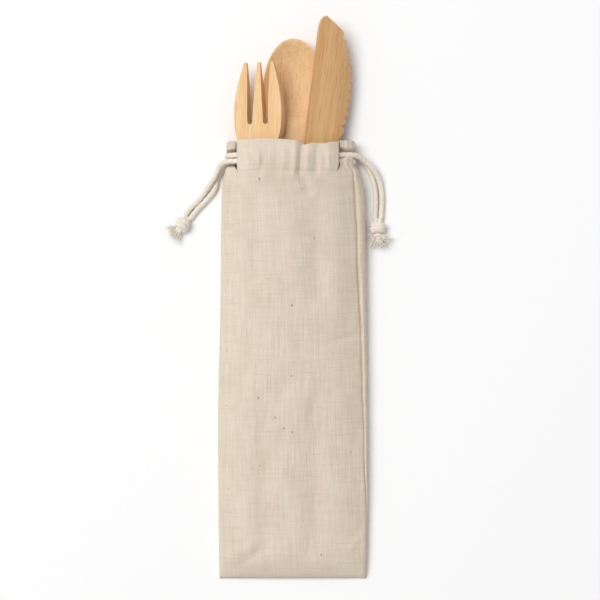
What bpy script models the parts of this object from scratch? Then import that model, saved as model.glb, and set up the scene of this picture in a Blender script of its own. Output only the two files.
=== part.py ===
"""A bamboo fork, spoon and knife standing part-way out of a cotton drawstring pouch.

Everything lies flat: +X is across the pouch, +Y runs from its closed end to its mouth, and
+Z is up. The origin is the centre of the pouch's flat underside. Lengths are in metres.
"""

import math

import bmesh
import bpy
from mathutils import Matrix, Vector

# ---- driving dimensions -------------------------------------------------------------------
PIECE_LENGTH = 0.200  # each piece of cutlery, from end to end

POUCH_LENGTH = 0.2291
END_Y = -0.1154
MOUTH_Y = END_Y + POUCH_LENGTH
CLOTH = 0.0006  # one layer of the pouch's cotton

CORD_DIAMETER = 0.0028
CORD_RADIUS = CORD_DIAMETER / 2
GAP = 0.0003  # between neighbours that touch

CHANNEL_DEPTH = 0.0170  # the hem's channel, from its stitching to the mouth
CHANNEL_HEIGHT = CORD_DIAMETER + 2 * GAP
HEM = CHANNEL_HEIGHT + 2 * CLOTH  # both layers of the hem with a cord between them
FRONT_CHANNEL_HEIGHT = CHANNEL_HEIGHT + 0.0006  # measured upright, where the front slopes
FRONT_HEM = FRONT_CHANNEL_HEIGHT + 2 * CLOTH
HEM_Y = MOUTH_Y - CHANNEL_DEPTH
FRONT_HEM_LEFT = -0.0292  # the front hem's open ends, where the cords come out
FRONT_HEM_RIGHT = 0.0236
CORD_IN_FRONT = FRONT_HEM / 2  # a cord's centre below the front hem's outer face
CORD_IN_BACK = HEM / 2

LEFT_CORD_Y = 0.1026  # where each drawstring runs in the channels
RIGHT_CORD_Y = 0.1058

FORK_THICKNESS = 0.0052
FORK_ROLL = math.radians(22)  # it leans on the spoon's rim, its right edge up
KNIFE_THICKNESS = 0.0038
KNIFE_ROLL = math.radians(15)  # it lies on the spoon's other rim, its teeth down
KNIFE_TILT = math.radians(6.9)  # seen from above, its point swings to the right
SPOON_RIM_Z = 0.0101
SPOON_HANDLE = 0.0042  # the handle's thickness
BOWL_DEPTH = 0.0059


# ---- small tools --------------------------------------------------------------------------
def clear_scene():
    for old in list(bpy.data.objects):
        bpy.data.objects.remove(old)


def through(points, t):
    """A smooth curve's value at t; points are (t, value), in rising order of t."""
    if t <= points[0][0]:
        return points[0][1]
    if t >= points[-1][0]:
        return points[-1][1]
    k = next(i for i in range(len(points) - 1) if t <= points[i + 1][0])

    def slope(i):
        before, after = points[max(i - 1, 0)], points[min(i + 1, len(points) - 1)]
        return (after[1] - before[1]) / (after[0] - before[0])

    (t0, a), (t1, b) = points[k], points[k + 1]
    width, s = t1 - t0, (t - t0) / (t1 - t0)
    bend_a, bend_b = slope(k) * width, slope(k + 1) * width
    return (
        a * (2 * s**3 - 3 * s**2 + 1)
        + b * (3 * s**2 - 2 * s**3)
        + bend_a * (s**3 - 2 * s**2 + s)
        + bend_b * (s**3 - s**2)
    )


def material(name, colour, roughness):
    made = bpy.data.materials.new(name)
    made.use_nodes = True
    shader = made.node_tree.nodes["Principled BSDF"]
    shader.inputs["Base Color"].default_value = (*colour, 1.0)
    shader.inputs["Roughness"].default_value = roughness
    shader.inputs["Metallic"].default_value = 0.0
    return made


def add_object(name, bm, finish, place=None):
    """An object of this name from a bmesh, moved to its place and smoothly shaded."""
    if place is not None:
        bm.transform(place)
    mesh = bpy.data.meshes.new(name)
    bm.to_mesh(mesh)
    bm.free()
    mesh.shade_smooth()
    mesh.set_sharp_from_angle(angle=math.radians(40))
    made = bpy.data.objects.new(name, mesh)
    bpy.context.collection.objects.link(made)
    if finish is not None:
        made.data.materials.append(finish)
    return made


def plate(grid, filled, top, bottom, edge_crease=0.0):
    """A closed plate over the filled cells of a grid of (u, v) points."""
    bm = bmesh.new()
    corners = {}

    def corner(side, height, i, j):
        if (side, i, j) not in corners:
            u, v = grid[i][j]
            corners[side, i, j] = bm.verts.new((u, v, height(u, v)))
        return corners[side, i, j]

    rows, columns = len(grid) - 1, len(grid[0]) - 1
    cells = {(i, j) for i in range(rows) for j in range(columns) if filled(i, j)}
    crease = bm.edges.layers.float.new("crease_edge")
    rims = []
    for i, j in sorted(cells):
        ring = [(i, j), (i, j + 1), (i + 1, j + 1), (i + 1, j)]
        bm.faces.new([corner("top", top, *c) for c in ring])
        bm.faces.new([corner("bottom", bottom, *c) for c in reversed(ring)])
        beside = [(i - 1, j), (i, j + 1), (i + 1, j), (i, j - 1)]
        for a, b, neighbour in zip(ring, ring[1:] + ring[:1], beside):
            if neighbour not in cells:
                low = [corner("bottom", bottom, *a), corner("bottom", bottom, *b)]
                high = [corner("top", top, *b), corner("top", top, *a)]
                bm.faces.new(low + high)
                rims += [low, high]
    for first, second in rims:
        bm.edges.get((first, second))[crease] = edge_crease
    return bm


def subdivide(thing, levels):
    modifier = thing.modifiers.new("Smooth", "SUBSURF")
    modifier.levels = levels
    modifier.render_levels = levels


def boolean(thing, other, operation):
    """Apply an exact Boolean and drop the tool object."""
    modifier = thing.modifiers.new(operation.title(), "BOOLEAN")
    modifier.operation = operation
    modifier.solver = "EXACT"
    modifier.object = other
    seen = bpy.context.evaluated_depsgraph_get()
    result = bpy.data.meshes.new_from_object(thing.evaluated_get(seen))
    thing.modifiers.clear()
    thing.data = result
    bpy.data.objects.remove(other)


# ---- the spoon, lowest, on the hem --------------------------------------------------------
SPOON_TIP_Y = 0.1668
SPOON_END_Y = SPOON_TIP_Y - PIECE_LENGTH
BOWL_Y = 0.1440  # the hollow's middle
BOWL_HALF_LENGTH = 0.0215
BOWL_HALF_WIDTH = 0.0143
SPOON_OUTLINE = [  # (y, half of the width)
    (SPOON_END_Y, 0.0024),
    (SPOON_END_Y + 0.0012, 0.0043),
    (SPOON_END_Y + 0.0040, 0.0056),
    (-0.0200, 0.0059),
    (0.0600, 0.0051),
    (0.0980, 0.0056),
    (0.1100, 0.0072),
    (0.1220, 0.0118),
    (0.1320, 0.0150),
    (0.1400, 0.0157),
    (0.1480, 0.0151),
    (0.1560, 0.0127),
    (0.1620, 0.0091),
    (0.1655, 0.0054),
    (SPOON_TIP_Y, 0.0026),
]
SPOON_TOP = [  # (y, height of the handle's face and of the rim)
    (SPOON_END_Y, CLOTH + GAP + SPOON_HANDLE),
    (0.0400, 0.0072),
    (0.0945, HEM + GAP + SPOON_HANDLE + 0.0001),
    (0.1100, 0.0093),
    (0.1300, SPOON_RIM_Z - 0.0002),
    (0.1450, SPOON_RIM_Z),
    (SPOON_TIP_Y, SPOON_RIM_Z),
]
SPOON_EDGE = [(0.1120, SPOON_HANDLE), (0.1300, 0.0026), (SPOON_TIP_Y, 0.0021)]


def spoon_top(x, y):
    ring = (x / BOWL_HALF_WIDTH) ** 2 + ((y - BOWL_Y) / BOWL_HALF_LENGTH) ** 2
    return through(SPOON_TOP, y) - BOWL_DEPTH * max(0.0, 1.0 - ring)


def spoon_bottom(x, y):
    along = max(0.0, 1.0 - ((y - BOWL_Y) / 0.0240) ** 2)
    across = max(0.0, 1.0 - (x / through(SPOON_OUTLINE, y)) ** 2)
    return through(SPOON_TOP, y) - through(SPOON_EDGE, y) - 0.0060 * along * across


def make_spoon(finish):
    steps = [SPOON_END_Y + s for s in (0.0, 0.0012, 0.0040, 0.0100)]
    steps += [0.0000, 0.0400, 0.0750, 0.0980]
    steps += [0.1060 + 0.0045 * k for k in range(12)]
    steps += [0.1590, 0.1620, 0.1645, 0.1660, SPOON_TIP_Y]
    shares = (-1.0, -0.86, -0.62, -0.32, 0.0, 0.32, 0.62, 0.86, 1.0)
    grid = [[(share * through(SPOON_OUTLINE, y), y) for share in shares] for y in steps]
    bm = plate(grid, lambda i, j: True, spoon_top, spoon_bottom, 0.55)
    subdivide(add_object("spoon", bm, finish), 1)


# ---- the fork, leaning on the spoon's left rim --------------------------------------------
FORK_HALF_WIDTH = [  # (distance from the handle's end, half of the width)
    (0.0000, 0.0026),
    (0.0012, 0.0046),
    (0.0040, 0.0060),
    (0.0200, 0.0063),
    (0.1000, 0.0052),
    (0.1400, 0.0055),
    (0.1500, 0.0078),
    (0.1600, 0.0116),
    (0.1660, 0.0130),
    (0.1735, 0.0134),
    (0.1815, 0.0127),
    (0.1880, 0.0115),
    (0.1940, 0.0099),
    (PIECE_LENGTH, 0.0083),
]
SLOT_V = 0.1676  # where the two slots between the tines begin
MIDDLE_TINE = [  # (distance, half of the middle tine's width)
    (0.0000, 0.0010),
    (0.1400, 0.0014),
    (SLOT_V, 0.0030),
    (0.1830, 0.00207),
    (0.1910, 0.0015),
    (PIECE_LENGTH, 0.0008),
]
OUTER_TINE = [  # (distance, where an outer tine begins)
    (0.0000, 0.0018),
    (0.1400, 0.0032),
    (SLOT_V, 0.0058),
    (0.1830, 0.0060),
    (0.1910, 0.0062),
    (PIECE_LENGTH, 0.00665),
]
FORK_PROFILE = [(0.1640, FORK_THICKNESS), (0.1850, 0.0039), (PIECE_LENGTH, 0.0013)]


def make_fork(finish):
    steps = [0.0, 0.0012, 0.0040, 0.0120, 0.0400, 0.0800, 0.1150, 0.1350, 0.1430, 0.1500]
    steps += [0.1560, 0.1615, 0.1655, SLOT_V, 0.1705, 0.1760, 0.1815, 0.1870, 0.1920]
    steps += [0.1965, PIECE_LENGTH - 0.0006, PIECE_LENGTH]

    def row(v):
        half, outer, middle = (
            through(curve, v) for curve in (FORK_HALF_WIDTH, OUTER_TINE, MIDDLE_TINE)
        )
        return [(u, v) for u in (-half, -outer, -middle, middle, outer, half)]

    def filled(i, j):
        return steps[i] < SLOT_V - 1e-6 or j in (0, 2, 4)

    def half_thick(u, v):
        return through(FORK_PROFILE, v) / 2

    bm = plate([row(v) for v in steps], filled, half_thick, lambda u, v: -half_thick(u, v), 0.6)
    pitch = math.radians(2.1)
    place = (
        Matrix.Translation((-0.0168, -0.0456, 0.0054))
        @ Matrix.Rotation(math.radians(0.3), 4, "Z")
        @ Matrix.Rotation(pitch, 4, "X")
        @ Matrix.Rotation(-FORK_ROLL, 4, "Y")
    )
    subdivide(add_object("fork", bm, finish, place), 1)


# ---- the knife, over the spoon's right rim ------------------------------------------------
# Its own frame has the back of the blade at u = 0 and the mouth's edge about v = 0.
BLADE_TIP_V = 0.0643
KNIFE_END_V = BLADE_TIP_V - PIECE_LENGTH
BELLY_RADIUS = 0.064
BELLY_U = 0.0228  # the toothed edge's widest point
BELLY_V = 0.0240
TOOTH_PITCH = 0.0046
TOOTH_DEPTH = 0.0024
TEETH = 11
HOOKED_TEETH = 3
FIRST_TOOTH_V = 0.0533
SPINE = [
    (KNIFE_END_V, 0.0038),
    (KNIFE_END_V + 0.0012, 0.0018),
    (KNIFE_END_V + 0.0040, 0.0003),
    (-0.1150, 0.0000),
    (-0.0300, 0.0008),
    (-0.0100, 0.0003),
    (0.0000, 0.0000),
    (0.0560, 0.0000),
    (0.0605, 0.0003),
    (0.0630, 0.0012),
    (BLADE_TIP_V, 0.0026),
]
HANDLE_EDGE = [
    (KNIFE_END_V, 0.0086),
    (KNIFE_END_V + 0.0012, 0.0106),
    (KNIFE_END_V + 0.0040, 0.0121),
    (-0.1150, 0.0126),
    (-0.0300, 0.0112),
    (-0.0180, 0.0124),
    (-0.0080, 0.0152),
    (0.0035, 0.0184),
]


def belly(v):
    return BELLY_U - BELLY_RADIUS + math.sqrt(BELLY_RADIUS**2 - (v - BELLY_V) ** 2)


def knife_edge():
    """The cutting side as (u, v) points, from the handle's end to the point."""
    edge = [(u, v) for v, u in HANDLE_EDGE]
    for k in reversed(range(TEETH)):
        tip_v = FIRST_TOOTH_V - k * TOOTH_PITCH
        rise = 0.0002 if k < HOOKED_TEETH else 0.0016
        edge.append((belly(tip_v), tip_v))
        edge.append((belly(tip_v + rise) - TOOTH_DEPTH, tip_v + rise))
    # The nose: up to its corner, then slanting back to the point.
    edge += [(0.0136, 0.0555), (0.0136, 0.0571), (0.0130, 0.0580)]
    edge += [(0.0072, 0.0618), (0.0042, 0.0636), (0.0033, BLADE_TIP_V)]
    return edge


def make_knife(finish):
    shares = (0.0, 0.10, 0.45, 0.78)
    grid = []
    for u, v in knife_edge():
        back = through(SPINE, v)
        root = min(u, belly(v) - TOOTH_DEPTH - 0.0006) if v > 0.0035 else u * 0.95
        inner = [(back + share * (root - back), v) for share in shares]
        grid.append(inner + [(back + 0.96 * (root - back), v), (u, v)])

    def top(u, v):
        blade = min(max((v + 0.012) / 0.012, 0.0), 1.0)
        bevel = min(max((u - 0.0150) / 0.0080, 0.0), 1.0)
        nose = min(max((u / 0.0130 + v / BLADE_TIP_V - 1.45) / 0.50, 0.0), 1.0)
        return KNIFE_THICKNESS - blade * (0.0022 * bevel + 0.0012 * nose)

    bm = plate(grid, lambda i, j: True, top, lambda u, v: 0.0)
    place = (
        Matrix.Translation((0.0057, 0.1145, 0.0119))
        @ Matrix.Rotation(-KNIFE_TILT, 4, "Z")
        @ Matrix.Rotation(math.radians(0.85), 4, "X")
        @ Matrix.Rotation(KNIFE_ROLL, 4, "Y")
    )
    add_object("knife", bm, finish, place)


# ---- the pouch ----------------------------------------------------------------------------
LEFT_EDGE = [(END_Y, -0.0390), (-0.0300, -0.0396), (0.0250, -0.0384), (0.0780, -0.0378)]
LEFT_EDGE += [(0.0900, -0.0372), (HEM_Y, -0.0360), (MOUTH_Y, -0.0353)]
RIGHT_EDGE = [(END_Y, 0.0382), (-0.0700, 0.0390), (0.0000, 0.0386), (0.0780, 0.0376)]
RIGHT_EDGE += [(0.0900, 0.0366), (HEM_Y, 0.0342), (MOUTH_Y, 0.0326)]
SIDE_RADIUS = [(END_Y, 0.0026), (-0.1000, 0.0030), (0.0500, 0.0036), (HEM_Y, 0.0050)]
SIDE_HEIGHT = [(END_Y, 0.0052), (-0.1000, 0.0064), (0.0400, 0.0084), (0.0850, 0.0112)]
SIDE_HEIGHT += [(HEM_Y, 0.0145), (MOUTH_Y, 0.0150)]
CROWN = [(END_Y, 0.0066), (-0.1000, 0.0098), (-0.0500, 0.0130), (-0.0250, 0.0150)]
CROWN += [(0.0400, 0.0170), (0.0850, 0.0204), (0.1000, 0.0233), (MOUTH_Y, 0.0240)]
CROWN_POWER = 2.6  # how square the crown is across the pouch
RIDGE = [(END_Y, -0.0010), (0.0000, -0.0060), (HEM_Y, -0.0080)]  # x of the crown
BACK_SLIT_LEFT = -0.0292  # the back hem's upper layer is slit open beyond these
BACK_SLIT_RIGHT = 0.0262
SLIT_Y = 0.1086


def pouch_top(x, y):
    """The front panel's outer face: a low crown that falls to both side edges."""
    radius, side = through(SIDE_RADIUS, y), through(SIDE_HEIGHT, y)
    ridge = through(RIDGE, y)
    edge = through(LEFT_EDGE, y) + radius if x < ridge else through(RIGHT_EDGE, y) - radius
    share = min(abs((x - ridge) / (edge - ridge)), 1.0)
    return side + (through(CROWN, y) - side) * (1.0 - share**CROWN_POWER)


def pouch_ring(y, inset):
    """One section through the pouch, moved inwards by a wall's thickness."""
    radius, half_side = through(SIDE_RADIUS, y), through(SIDE_HEIGHT, y) / 2
    left, right = through(LEFT_EDGE, y) + radius, through(RIGHT_EDGE, y) - radius
    across, round_side = 22, 6

    def side(x, start):
        for k in range(1, round_side):
            angle = start + math.pi * k / round_side
            out = (radius - inset) * math.cos(angle)
            yield x + out, half_side + (half_side - inset) * math.sin(angle)

    steps = [left + (right - left) * k / across for k in range(across + 1)]
    ring = [(x, inset) for x in steps]
    ring += side(right, -math.pi / 2)
    ring += [(x, pouch_top(x, y) - inset) for x in reversed(steps)]
    ring += side(left, math.pi / 2)
    return [Vector((x, y, z)) for x, z in ring]


def lofted(name, sections, finish=None):
    """A closed solid through sections of equal point counts."""
    bm = bmesh.new()
    rings = [[bm.verts.new(point) for point in section] for section in sections]
    count = len(rings[0])
    for here, there in zip(rings, rings[1:]):
        for k in range(count):
            n = (k + 1) % count
            bm.faces.new((here[k], there[k], there[n], here[n]))
    bm.faces.new(rings[0])
    bm.faces.new(list(reversed(rings[-1])))
    bmesh.ops.recalc_face_normals(bm, faces=bm.faces[:])
    return add_object(name, bm, finish)


def slab(name, x_range, y_range, top, bottom):
    """A solid between two heights, over a rectangle in plan."""
    columns, rows = 20, 3
    (x0, x1), (y0, y1) = x_range, y_range
    grid = [
        [(x0 + (x1 - x0) * j / columns, y0 + (y1 - y0) * i / rows) for j in range(columns + 1)]
        for i in range(rows + 1)
    ]
    bm = plate(grid, lambda i, j: True, top, bottom)
    return add_object(name, bm, None)


def make_pouch(finish):
    steps = [END_Y, -0.1120, -0.1020, -0.0850, -0.0600, -0.0300, 0.0000, 0.0300, 0.0550]
    steps += [0.0720, 0.0850, 0.0930, HEM_Y]
    pouch = lofted("pouch", [pouch_ring(y, 0.0) for y in steps], finish)
    inner = [END_Y + CLOTH + 0.0004, *steps[1:-1], HEM_Y + 0.002]
    boolean(pouch, lofted("inside", [pouch_ring(y, CLOTH) for y in inner]), "DIFFERENCE")

    # The hem is folded in at the mouth: two open-ended channels, front and back.
    start = HEM_Y - 0.0006
    front = slab(
        "front_hem",
        (FRONT_HEM_LEFT, FRONT_HEM_RIGHT),
        (start, MOUTH_Y),
        lambda x, y: pouch_top(x, y) - 0.00001,
        lambda x, y: pouch_top(x, y) - FRONT_HEM,
    )
    boolean(pouch, front, "UNION")
    left, right = through(LEFT_EDGE, MOUTH_Y), through(RIGHT_EDGE, MOUTH_Y)
    back_hem = slab(
        "back_hem", (left, right), (start, MOUTH_Y), lambda x, y: HEM, lambda x, y: 0.0
    )
    boolean(pouch, back_hem, "UNION")

    channel = (HEM_Y + 0.0012, MOUTH_Y - 0.0012)
    past = 0.004
    front_channel = slab(
        "front_channel",
        (FRONT_HEM_LEFT - past, FRONT_HEM_RIGHT + past),
        channel,
        lambda x, y: pouch_top(x, y) - CLOTH,
        lambda x, y: pouch_top(x, y) - CLOTH - FRONT_CHANNEL_HEIGHT,
    )
    boolean(pouch, front_channel, "DIFFERENCE")
    back_channel = slab(
        "back_channel",
        (left - past, right + past),
        channel,
        lambda x, y: CLOTH + CHANNEL_HEIGHT,
        lambda x, y: CLOTH,
    )
    boolean(pouch, back_channel, "DIFFERENCE")
    for x_range in ((left - past, BACK_SLIT_LEFT), (BACK_SLIT_RIGHT, right + past)):
        slit = slab(
            "slit", x_range, (channel[0], SLIT_Y), lambda x, y: 2 * HEM, lambda x, y: CLOTH
        )
        boolean(pouch, slit, "DIFFERENCE")


# ---- the drawstrings ----------------------------------------------------------------------
def cord(name, route, spacing, finish):
    """A round cord on one smooth curve through the route's points."""
    points = [Vector(point) for point in route]
    lengths = [0.0]
    for here, there in zip(points, points[1:]):
        lengths.append(lengths[-1] + (there - here).length)
    count = max(4, math.ceil(lengths[-1] / spacing))
    tracks = [[(s, p[axis]) for s, p in zip(lengths, points)] for axis in range(3)]
    curve = bpy.data.curves.new(name, "CURVE")
    curve.dimensions = "3D"
    curve.resolution_u = 1
    curve.render_resolution_u = 0
    curve.bevel_depth = CORD_RADIUS
    curve.bevel_resolution = 2
    curve.use_fill_caps = True
    spline = curve.splines.new("POLY")
    spline.points.add(count)
    for k in range(count + 1):
        s = lengths[-1] * k / count
        spline.points[k].co = (*[through(track, s) for track in tracks], 1.0)
    made = bpy.data.objects.new(name, curve)
    bpy.context.collection.objects.link(made)
    curve.materials.append(finish)


def in_front(x, y):
    return (x, y, pouch_top(x, y) - CORD_IN_FRONT)


def in_back(x, y):
    return (x, y, CORD_IN_BACK)


STRAND_LEFT = FRONT_HEM_LEFT + 0.0022  # where a strand's own solid starts, in the channel
STRAND_RIGHT = FRONT_HEM_RIGHT - 0.0022
FLOOR_Z = CORD_RADIUS + 0.00005  # a cord's centre when it lies on what the pouch lies on


def make_drawstrings(finish):
    """Each drawstring runs through both channels, turns at the far side and ends in a knot."""
    y = RIGHT_CORD_Y
    inner = [0.0180 - 0.0060 * k for k in range(8)]
    route = [in_front(x, y) for x in (STRAND_RIGHT - GAP, *inner, FRONT_HEM_LEFT)]
    route += [(-0.0326, y, 0.0108), (-0.0345, y, 0.0076), (-0.0342, y, 0.0046)]
    route += [(-0.0328, y, 0.0028)]
    route += [in_back(-0.0298 + 0.0098 * k, y) for k in range(7)]
    cord("right_drawstring", route, 0.0050, finish)

    y = LEFT_CORD_Y
    route = [in_front(x, y) for x in (STRAND_LEFT + GAP, *reversed(inner), FRONT_HEM_RIGHT)]
    route += [(0.0280, y, 0.0128), (0.0310, y, 0.0090), (0.0314, y, 0.0054)]
    route += [(0.0302, y, 0.0030)]
    route += [in_back(0.0273 - 0.0090 * k, y) for k in range(7)]
    cord("left_drawstring", route, 0.0050, finish)

    # The strands that lie free, from the hem's open ends to the knots.
    right_front = [
        in_front(STRAND_RIGHT, RIGHT_CORD_Y),
        in_front(FRONT_HEM_RIGHT, RIGHT_CORD_Y),
        (0.0270, 0.1059, 0.0131),
        (0.0300, 0.1060, 0.0117),
        (0.0333, 0.1056, 0.0094),
        (0.0366, 0.1038, 0.0066),
        (0.0402, 0.1009, 0.0048),
        (0.0432, 0.0971, 0.0036),
        (0.0453, 0.0926, 0.0022),
        (0.0462, 0.0886, FLOOR_Z),
        (0.0465, 0.0850, FLOOR_Z),
        (0.0465, 0.0804, FLOOR_Z),
        (0.0462, 0.0767, FLOOR_Z),
        (0.0460, 0.0731, FLOOR_Z),
    ]
    cord("right_front_strand", right_front, 0.0036, finish)
    right_back = [
        in_back(0.0294, RIGHT_CORD_Y),
        in_back(0.0316, RIGHT_CORD_Y),
        (0.0340, 0.1048, 0.0022),
        (0.0363, 0.1032, 0.0017),
        (0.0385, 0.1009, FLOOR_Z),
        (0.0405, 0.0968, FLOOR_Z),
        (0.0421, 0.0920, FLOOR_Z),
        (0.0430, 0.0871, FLOOR_Z),
        (0.0433, 0.0828, FLOOR_Z),
        (0.0432, 0.0786, FLOOR_Z),
        (0.0429, 0.0733, FLOOR_Z),
    ]
    cord("right_back_strand", right_back, 0.0036, finish)
    left_front = [
        in_front(STRAND_LEFT, LEFT_CORD_Y),
        in_front(FRONT_HEM_LEFT, LEFT_CORD_Y),
        (-0.0322, 0.1028, 0.0118),
        (-0.0356, 0.1025, 0.0098),
        (-0.0383, 0.1009, 0.0072),
        (-0.0399, 0.0980, 0.0056),
        (-0.0419, 0.0941, 0.0045),
        (-0.0449, 0.0899, 0.0024),
        (-0.0478, 0.0857, FLOOR_Z),
        (-0.0510, 0.0818, FLOOR_Z),
        (-0.0543, 0.0788, FLOOR_Z),
        (-0.0571, 0.0750, FLOOR_Z),
    ]
    cord("left_front_strand", left_front, 0.0036, finish)
    left_back = [
        in_back(-0.0270, LEFT_CORD_Y),
        in_back(-0.0300, LEFT_CORD_Y),
        (-0.0334, 0.1024, 0.0024),
        (-0.0358, 0.1008, 0.0025),
        (-0.0380, 0.0980, FLOOR_Z),
        (-0.0401, 0.0945, FLOOR_Z),
        (-0.0408, 0.0910, FLOOR_Z),
        (-0.0418, 0.0881, FLOOR_Z),
        (-0.0441, 0.0850, FLOOR_Z),
        (-0.0474, 0.0814, FLOOR_Z),
        (-0.0507, 0.0780, FLOOR_Z),
        (-0.0545, 0.0732, FLOOR_Z),
    ]
    cord("left_back_strand", left_back, 0.0036, finish)


KNOT_PROFILE = [  # (distance from the cords, radius): the knot, then the frayed ends
    (0.0000, 0.0025),
    (0.0008, 0.0034),
    (0.0030, 0.0042),
    (0.0062, 0.0040),
    (0.0086, 0.0028),
    (0.0098, 0.0026),
    (0.0130, 0.0042),
    (0.0165, 0.0056),
]


def make_knot(name, start, heading, finish):
    """Both ends of one drawstring, tied in an overhand knot and frayed beyond it."""
    rings = []
    for distance, radius in KNOT_PROFILE:
        height = min(radius, 0.0030)
        ring = []
        for k in range(14):
            angle = math.tau * k / 14
            ring.append(Vector((radius * math.sin(angle), distance, height * math.cos(angle))))
        rings.append(ring)
    turn = math.atan2(heading[1], heading[0]) - math.pi / 2
    place = Matrix.Translation((*start, 0.0030)) @ Matrix.Rotation(turn, 4, "Z")
    knot = lofted(name, rings, finish)
    knot.data.transform(place)


def main():
    clear_scene()
    bamboo = material("bamboo", (0.62, 0.40, 0.20), 0.45)
    cotton = material("cotton", (0.74, 0.67, 0.57), 0.92)
    string = material("drawstring_cotton", (0.78, 0.72, 0.63), 0.90)
    make_spoon(bamboo)
    make_fork(bamboo)
    make_knife(bamboo)
    make_pouch(cotton)
    make_drawstrings(string)
    make_knot("right_knot", (0.0444, 0.0722), (-0.05, -1.0), string)
    make_knot("left_knot", (-0.0563, 0.0733), (-0.55, -0.83), string)


main()
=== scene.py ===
"""The looks of a bamboo fork, spoon and knife in a cotton drawstring pouch.

The CAD frame is loaded first. Every visible piece is built here around it, in the same frame:
+X across the pouch, +Y from its closed end to its mouth, +Z up, lengths in metres.
"""

import math
import random

import bmesh
import bpy
import numpy as np
from mathutils import Matrix, Vector


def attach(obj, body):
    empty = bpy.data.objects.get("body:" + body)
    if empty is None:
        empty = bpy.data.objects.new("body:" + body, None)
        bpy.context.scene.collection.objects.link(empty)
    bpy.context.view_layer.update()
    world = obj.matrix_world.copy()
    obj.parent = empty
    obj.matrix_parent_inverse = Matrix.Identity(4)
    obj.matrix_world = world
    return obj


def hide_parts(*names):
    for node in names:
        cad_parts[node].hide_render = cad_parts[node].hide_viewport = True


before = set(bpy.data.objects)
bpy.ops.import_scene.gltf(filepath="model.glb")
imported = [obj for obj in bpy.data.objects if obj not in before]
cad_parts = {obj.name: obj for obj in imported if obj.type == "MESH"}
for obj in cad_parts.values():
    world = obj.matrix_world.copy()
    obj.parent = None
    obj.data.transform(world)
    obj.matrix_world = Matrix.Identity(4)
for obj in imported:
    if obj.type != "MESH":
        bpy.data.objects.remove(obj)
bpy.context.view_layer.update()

# ---- camera -------------------------------------------------------------------------------
CAMERA_X = 0.0034
CAMERA_Y = 0.0306
CAMERA_HEIGHT = 0.9
LENS = 102.5  # mm, on a sensor 36 mm wide

camera_data = bpy.data.cameras.new("camera")
camera_data.sensor_width = 36.0
camera_data.lens = LENS
camera_data.clip_start = 0.01
camera = bpy.data.objects.new("camera", camera_data)
camera.location = (CAMERA_X, CAMERA_Y, CAMERA_HEIGHT)
bpy.context.scene.collection.objects.link(camera)
bpy.context.scene.camera = camera

# ---- the CAD's driving dimensions, repeated -----------------------------------------------
PIECE_LENGTH = 0.200
END_Y = -0.1154
MOUTH_Y = END_Y + 0.2291
CLOTH = 0.0006
CORD_DIAMETER = 0.0028
CORD_RADIUS = CORD_DIAMETER / 2
GAP = 0.0003
CHANNEL_DEPTH = 0.0170
CHANNEL_HEIGHT = CORD_DIAMETER + 2 * GAP
HEM = CHANNEL_HEIGHT + 2 * CLOTH
FRONT_CHANNEL_HEIGHT = CHANNEL_HEIGHT + 0.0006
FRONT_HEM = FRONT_CHANNEL_HEIGHT + 2 * CLOTH
HEM_Y = MOUTH_Y - CHANNEL_DEPTH
FRONT_HEM_LEFT = -0.0292
FRONT_HEM_RIGHT = 0.0236
CORD_IN_FRONT = FRONT_HEM / 2
CORD_IN_BACK = HEM / 2
LEFT_CORD_Y = 0.1026
RIGHT_CORD_Y = 0.1058


# ---- small tools --------------------------------------------------------------------------
def through(points, t):
    """A smooth curve's values at t, a number or an array; points are (t, value), t rising."""
    ts = np.array([p[0] for p in points], float)
    values = np.array([p[1] for p in points], float)
    last = len(points) - 1
    before = np.maximum(np.arange(last + 1) - 1, 0)
    after = np.minimum(np.arange(last + 1) + 1, last)
    slopes = (values[after] - values[before]) / (ts[after] - ts[before])
    t = np.clip(np.asarray(t, float), ts[0], ts[-1])
    k = np.clip(np.searchsorted(ts, t, side="right") - 1, 0, last - 1)
    width = ts[k + 1] - ts[k]
    s = (t - ts[k]) / width
    return (
        values[k] * (2 * s**3 - 3 * s**2 + 1)
        + values[k + 1] * (3 * s**2 - 2 * s**3)
        + slopes[k] * width * (s**3 - 2 * s**2 + s)
        + slopes[k + 1] * width * (s**3 - s**2)
    )


def smooth_step(t):
    t = np.clip(t, 0.0, 1.0)
    return t * t * (3 - 2 * t)


def make_piece(name, points, faces, finish, marks=None):
    """A mesh object; marks is a vector for each point, kept as the attribute "mark"."""
    mesh = bpy.data.meshes.new(name)
    mesh.from_pydata([tuple(p) for p in points], [], [tuple(f) for f in faces])
    if marks is not None:
        layer = mesh.attributes.new("mark", "FLOAT_VECTOR", "POINT")
        layer.data.foreach_set("vector", np.asarray(marks, np.float32).ravel())
    mesh.shade_smooth()
    mesh.materials.append(finish)
    made = bpy.data.objects.new(name, mesh)
    bpy.context.scene.collection.objects.link(made)
    return made


def joined(parts):
    """Several (points, faces, marks) as one."""
    points, faces, marks, count = [], [], [], 0
    for part_points, part_faces, part_marks in parts:
        points.append(part_points)
        marks.append(part_marks)
        faces += [tuple(i + count for i in face) for face in part_faces]
        count += len(part_points)
    return np.concatenate(points), faces, np.concatenate(marks)


def spaced(route, spacing):
    """The route as points at an even spacing on one smooth curve."""
    points = np.array(route, float)
    steps = np.linalg.norm(np.diff(points, axis=0), axis=1)
    lengths = np.concatenate([[0.0], np.cumsum(steps)])
    count = max(4, math.ceil(lengths[-1] / spacing))
    at = np.linspace(0.0, lengths[-1], count + 1)
    return np.stack([through(list(zip(lengths, points[:, a])), at) for a in range(3)], axis=1)


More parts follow.
